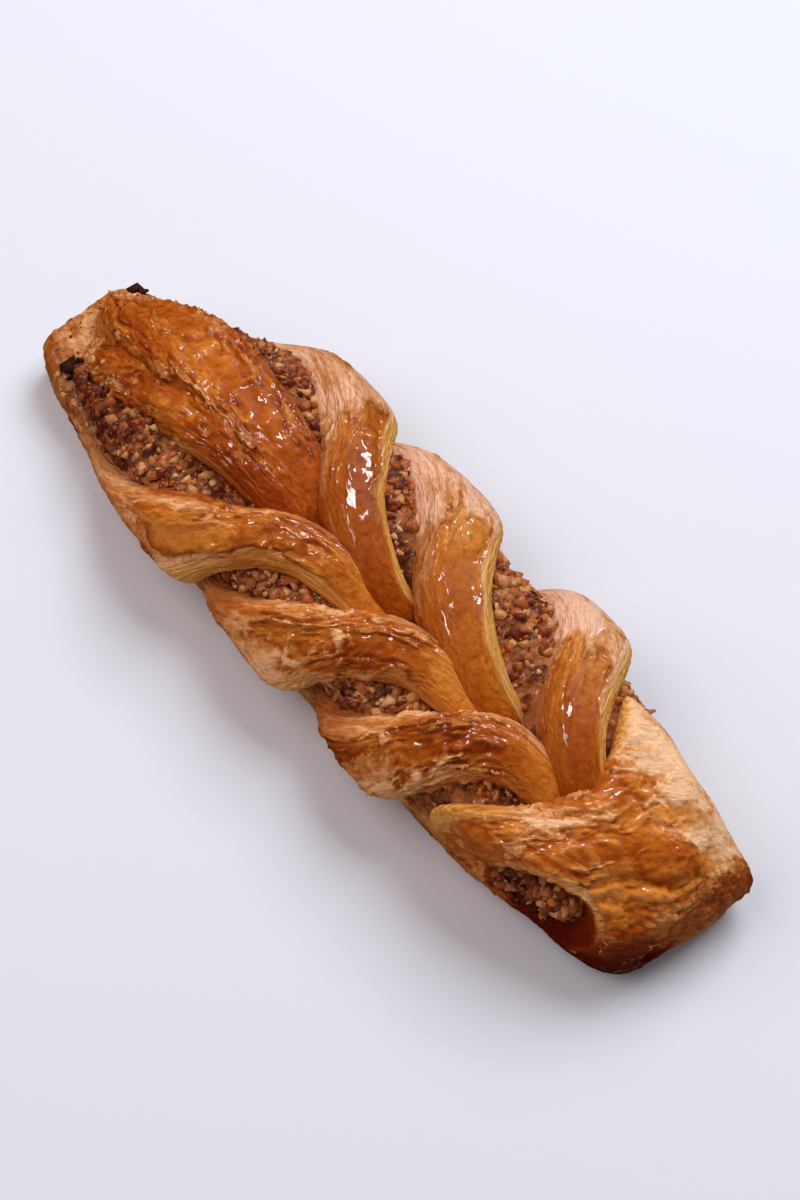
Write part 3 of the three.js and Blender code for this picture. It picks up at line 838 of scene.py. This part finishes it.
def nutMaterial(name, light, dark, roughness, coat, lumpy):
    n = nutFinish
    material, tree, shader, relief = newMaterial(name)
    place = addNode(tree, "ShaderNodeTexCoord").outputs["Object"]
    source = addNode(tree, "ShaderNodeAttribute", attribute_name="bake").outputs["Fac"]
    grain = noiseNode(tree, place, *n["grain"])
    share = mathNode(tree, "ADD", source, centredNode(tree, grain, n["grainTint"]))
    tree.links.new(mixNode(tree, share, tone(light), tone(dark)), shader.inputs["Base Color"])
    rough = (roughness - n["grainRough"], roughness + n["grainRough"])
    tree.links.new(rangeNode(tree, grain, n["grainFrom"], rough), shader.inputs["Roughness"])
    shader.inputs["Specular IOR Level"].default_value = n["specular"]
    shader.inputs["Coat Roughness"].default_value = n["coatRoughness"]
    shader.inputs["Coat Weight"].default_value = coat
    relief.inputs["Strength"].default_value = lumpy
    relief.inputs["Distance"].default_value = n["bumpHigh"] * mm
    tree.links.new(grain, relief.inputs["Height"])
    return material


pasteLook = nutMaterial("nutPaste", "c0743a", "561e08", roughness=0.5, coat=0.3, lumpy=0.9)


def makePaste():
    f = filling

    def place(ring, column):
        return fillingPoint(ring / f["rings"], fullTurn * column / f["columns"], f["inset"])

    bm = mouldBall(f["columns"], f["rings"], place)[0]
    tint = bm.verts.layers.float.new("bake")
    for vert in bm.verts:
        gaps, middles = noise.voronoi(vert.co / f["lumpSize"])
        grain = noise.fractal(vert.co / f["grainSize"], f["grainRough"], f["grainFiner"], f["grainOctaves"])
        small = noise.voronoi(vert.co / f["bitSize"])[0][0]
        vert[tint] = f["tint"] + f["lumpTint"] * noise.cell(middles[0] * f["lumpTintStep"])
        # painted shade: the paste darkens in the gaps between its lumps
        vert[tint] += f["gapTint"] * ramp(gaps[0], *f["gapFrom"])
        vert[tint] += f["farTint"] * ramp(-vert.co.x, *f["farFrom"])
        high = f["lump"] * (f["lumpMean"] - gaps[0]**2) - f["bit"] * small + f["grain"] * grain
        vert.co += vert.normal * high
    finishPiece("nut_paste", bm, pasteLook, "filling")


makePaste()

# Chopped nuts: a few chip shapes, repeated as one joined mesh for each kind
# in the fold's pocket the mix leans to dark chips: painted shade in the hollow
chipKinds = [
    {"name": "chips_tan", "count": 2200, "size": (0.6, 2.6), "seed": 21, "pocket": 25,
     "look": ("e4a468", "a05226", 0.5, 0.35, 0.9)},
    {"name": "chips_brown", "count": 2400, "size": (0.6, 2.6), "seed": 22, "pocket": 110,
     "look": ("c46a38", "641e0c", 0.45, 0.5, 0.9)},
    {"name": "chips_dark", "count": 600, "size": (0.5, 1.4), "seed": 23, "pocket": 170,
     "look": ("6a2c10", "341004", 0.6, 0.0, 0.8),
     "onCrust": [  # burnt bits: x, y and size
         (-91.6, 8.6, 2.3), (-90.0, 9.6, 1.7), (-67.7, 18.6, 1.3), (-70, 17.6, 1.0),
         (-34.2, -2.8, 0.8), (-85, -14.2, 2.5), (-83.2, -15.4, 2.0), (-84.4, -12.2, 1.7)]},
    {"name": "chips_cream", "count": 700, "size": (0.5, 1.7), "seed": 24, "pocket": 14,
     "look": ("f0c894", "c48848", 0.5, 0.2, 0.7)},
    {"name": "chips_syrup", "count": 900, "size": (0.6, 1.9), "seed": 25, "pocket": 15,
     "look": ("dc7c24", "8a3404", 0.3, 0.4, 0.5)},
    {"name": "crumbs", "count": 2000, "size": (0.3, 0.6), "seed": 26,
     "look": ("b06a30", "3c1606", 0.5, 0.1, 0.4), "farDark": 0,
     "spread": {"count": 70, "x": (-94, -80), "y": (-17, 10)}},
    {"name": "dough_crumbs", "count": 0, "size": (0.4, 1.3), "seed": 27,
     "look": ("dca468", "a86c34", 0.6, 0.0, 0.7), "farDark": 0,
     "spread": {"count": 90, "x": (-86, -70), "y": (-20, -10)}},
]
chip = {
    "shapes": 16, "corners": 15, "least": 0.45, "flatten": ((0.7, 1.3), (0.7, 1.2), (0.5, 0.9)),
    "smaller": 1.5, "along": (0.01, 0.99), "around": (-25, 205), "lowest": 4,
    "lift": -0.1, "liftShare": 0.1, "depth": 2,
    "clear": 50, "crustLift": 0.3, "crustLeast": 1, "farDark": 0.8, "farFrom": (45, 75),
}
pocketChips = {"x": (62, 74), "z": (6, 16), "from": -40, "open": -23, "deep": -12,
               "full": 0.6, "fullAt": 68, "fullSoft": 4}  # the hollow is full at its front


def chipShapes(draw):
    made = []
    for _ in range(chip["shapes"]):
        bm = bmesh.new()
        for _ in range(chip["corners"]):
            corner = Vector([draw.gauss(0, 1) for _ in range(3)]).normalized()
            bm.verts.new(corner * draw.uniform(chip["least"], 1))
        hull = bmesh.ops.convex_hull(bm, input=bm.verts[:], use_existing_faces=False)
        bmesh.ops.delete(bm, geom=hull["geom_interior"], context="VERTS")
        bm.verts.index_update()
        made.append(([v.co.copy() for v in bm.verts], [[v.index for v in f.verts] for f in bm.faces]))
        bm.free()
    return made


trees = []
for piece in doughPieces:
    corners = [v.co for v in piece.data.vertices]
    trees.append(BVHTree.FromPolygons(corners, [p.vertices for p in piece.data.polygons]))
foldTree = trees[-1]


def clearOfDough(point, outwards):  # no dough lies over the point
    return all(tree.ray_cast(point, outwards, chip["clear"] * mm)[0] is None for tree in trees)


def crustTop(x, y):
    above = Vector((x, y, chip["clear"])) * mm
    hits = [tree.ray_cast(above, Vector((0, 0, -1)))[0] for tree in trees]
    return max((hit.z for hit in hits if hit), default=0) / mm


def chipPlaces(kind, draw):  # middle and size of each chip that shows
    for _ in range(kind["count"]):
        t, angle = draw.uniform(*chip["along"]), math.radians(draw.uniform(*chip["around"]))
        size = lerp(*kind["size"], draw.random() ** chip["smaller"])
        middle = fillingPoint(t, angle, filling["inset"] - chip["lift"] - chip["liftShare"] * size)
        outwards = (middle - fillingPoint(t, angle, filling["inset"] + chip["depth"])).normalized()
        if middle.z > chip["lowest"] and clearOfDough(middle * mm, outwards):
            yield middle, size
    for x, y, size in kind.get("onCrust", []):
        yield Vector((x, y, crustTop(x, y) + chip["crustLift"] * size)), size
    p = pocketChips
    for _ in range(kind.get("pocket", 0)):
        size = lerp(*kind["size"], draw.random() ** chip["smaller"])
        start = Vector((draw.uniform(*p["x"]), p["from"], draw.uniform(*p["z"])))
        hit = foldTree.ray_cast(start * mm, Vector((0, 1, 0)))[0]
        if hit and p["open"] < hit.y / mm < p["deep"]:
            full = draw.uniform(0, p["full"]) * ramp(p["fullAt"] - start.x, -p["fullSoft"], p["fullSoft"])
            yield Vector((start.x, lerp(hit.y / mm, p["open"], full), start.z)), size
    area = kind.get("spread", {"count": 0})
    for _ in range(area["count"]):
        x, y = draw.uniform(*area["x"]), draw.uniform(*area["y"])
        size = lerp(*kind["size"], draw.random())
        high = crustTop(x, y)
        if high > chip["crustLeast"]:
            yield Vector((x, y, high)), size


def makeChips(kind):
    draw = random.Random(kind["seed"])
    shapes = chipShapes(draw)
    farDark = kind.get("farDark", chip["farDark"])
    points, faces, tints = [], [], []
    for middle, size in chipPlaces(kind, draw):
        spread = Vector([draw.uniform(*share) for share in chip["flatten"]]) * size
        axis = Vector([draw.gauss(0, 1) for _ in range(3)]).normalized()
        turn = Matrix.Rotation(draw.uniform(0, fullTurn), 3, axis)
        shade = draw.uniform(0, 1) + farDark * ramp(-middle.x, *chip["farFrom"])
        corners, sides = shapes[draw.randrange(len(shapes))]
        first = len(points)
        points += [(middle + turn @ Vector(c * s for c, s in zip(corner, spread))) * mm for corner in corners]
        faces += [[first + k for k in side] for side in sides]
        tints += [shade] * len(corners)
    mesh = bpy.data.meshes.new(kind["name"])
    mesh.from_pydata(points, [], faces)
    mesh.attributes.new("bake", "FLOAT", "POINT").data.foreach_set("value", tints)
    placePiece(kind["name"], mesh, nutMaterial(kind["name"], *kind["look"]), "filling")


for kind in chipKinds:
    makeChips(kind)


# Floor, light and camera
white = (1.0, 1.0, 1.0)
studio = {
    "floor": 3.0, "floorColour": "e6eaf6", "floorRoughness": 0.9, "floorSpecular": 0.1,
    "skyColour": (1.0, 0.94, 0.91), "sky": 0.2,
    "camera": (0.17457, -0.14459, 0.43414), "tilt": 28, "turn": 49.1, "lens": 70, "sensor": 36,
}
lamps = [  # name, place, size, power, colour, lights the surfaces, shows in their gloss
    ("windowLight", (-0.12, 0.6, 0.78), (0.7, 0.6), 7.9, (0.955, 0.98, 1.0), True, False),
    ("sheenLight", (-0.25, 0.85, 0.55), (1.0, 0.7), 1.4, (1.0, 0.99, 0.98), False, True),
    ("sparkleLight", (-0.2, 0.9, 0.38), (0.15, 0.12), 1.4, white, False, True),
    ("topSparkleLight", (-0.33, 0.42, 0.85), (0.14, 0.12), 1.5, white, False, True),
    ("leftSparkleLight", (-0.37, -0.1, 0.92), (0.2, 0.18), 2.4, white, False, True),
    ("fillLight", (-0.5, -0.5, 0.9), (1.0, 1.0), 6.0, (1.0, 0.87, 0.82), True, False),
]


def makeFloor():
    bm = bmesh.new()
    bmesh.ops.create_grid(bm, x_segments=1, y_segments=1, size=studio["floor"] / 2)
    mesh = bpy.data.meshes.new("floor")
    bm.to_mesh(mesh)
    bm.free()
    floor = bpy.data.objects.new("floor", mesh)
    bpy.context.scene.collection.objects.link(floor)
    material = bpy.data.materials.new("paleFloor")
    material.use_nodes = True
    shader = material.node_tree.nodes["Principled BSDF"]
    shader.inputs["Base Color"].default_value = tone(studio["floorColour"])
    shader.inputs["Roughness"].default_value = studio["floorRoughness"]
    shader.inputs["Specular IOR Level"].default_value = studio["floorSpecular"]
    mesh.materials.append(material)
    floor.visible_glossy = False


def makeLights():
    for name, place, size, power, colour, glow, shine in lamps:
        light = bpy.data.lights.new(name, "AREA")
        light.shape = "RECTANGLE"
        light.size, light.size_y = size
        light.energy = power
        light.color = colour
        lamp = bpy.data.objects.new(name, light)
        lamp.visible_diffuse = glow
        lamp.visible_glossy = shine
        lamp.location = place
        lamp.rotation_euler = (-lamp.location).to_track_quat("-Z", "Y").to_euler()
        bpy.context.scene.collection.objects.link(lamp)
    world = bpy.data.worlds.new("paleRoom")
    world.use_nodes = True
    sky = world.node_tree.nodes["Background"]
    sky.inputs["Color"].default_value = (*studio["skyColour"], 1)
    sky.inputs["Strength"].default_value = studio["sky"]
    world.cycles_visibility.glossy = False
    bpy.context.scene.world = world
    bpy.context.scene.view_settings.view_transform = "Standard"


def makeCamera():
    lens = bpy.data.cameras.new("photoView")
    lens.lens = studio["lens"]
    lens.sensor_width = studio["sensor"]
    camera = bpy.data.objects.new("photoView", lens)
    camera.location = studio["camera"]
    camera.rotation_euler = (math.radians(studio["tilt"]), 0, math.radians(studio["turn"]))
    bpy.context.scene.collection.objects.link(camera)
    bpy.context.scene.camera = camera


makeFloor()
makeLights()
makeCamera()
print("studio ready")
